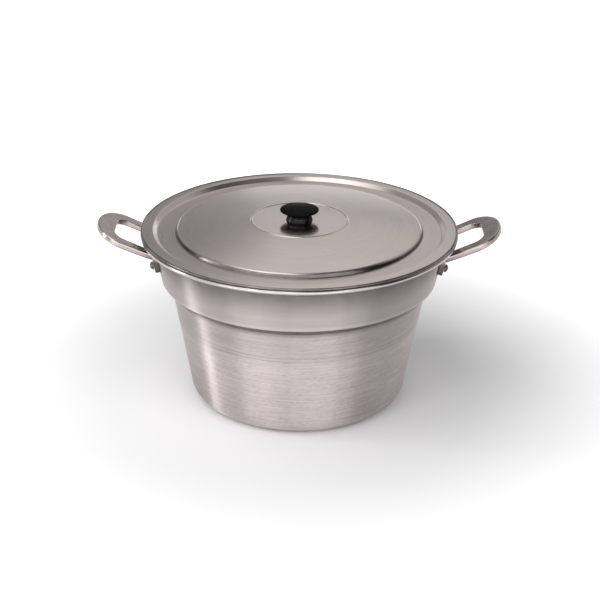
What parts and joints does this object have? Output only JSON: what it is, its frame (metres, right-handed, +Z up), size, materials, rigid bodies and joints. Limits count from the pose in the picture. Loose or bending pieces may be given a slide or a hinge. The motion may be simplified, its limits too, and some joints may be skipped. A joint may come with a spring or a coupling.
{
  "type": "stockpot",
  "caption": "Stepped aluminium stockpot with a tapered hammered body, a wide flared collar, riveted cast loop handles and a lift-off stepped lid with a black knob.",
  "frame": {"origin": "centre of the flat base, on the surface that the pot stands on", "axes": "+Z up the pot's axis, +X along the line of the two handles, -Y towards the viewer of the picture"},
  "size_m": [0.4606, 0.3618, 0.2272],
  "materials": {
    "spun_aluminium": "spun, with a smooth brushed collar and hammered rows on the lower wall",
    "cast_aluminium": "cast and polished",
    "rivet_aluminium": "plain, tumbled",
    "pressed_aluminium": "fine circular brushing",
    "black_phenolic": "moulded, semi-gloss",
    "brass": "turned",
    "plated_steel": "zinc plated"
  },
  "bodies": {
    "pot": {"pot_body": "spun_aluminium", "handle_right": "cast_aluminium", "handle_left": "cast_aluminium", "rivet_right_front": "rivet_aluminium", "rivet_right_back": "rivet_aluminium", "rivet_left_front": "rivet_aluminium", "rivet_left_back": "rivet_aluminium"},
    "lid": {"lid_shell": "pressed_aluminium", "lid_knob": "black_phenolic", "knob_insert": "brass", "knob_screw": "plated_steel", "knob_washer": "plated_steel"}
  },
  "joints": [
    {"name": "lid_lift", "type": "slide", "parent": "pot", "child": "lid", "axis": [0, 0, 1], "range_m": [0, 0.15]}
  ]
}
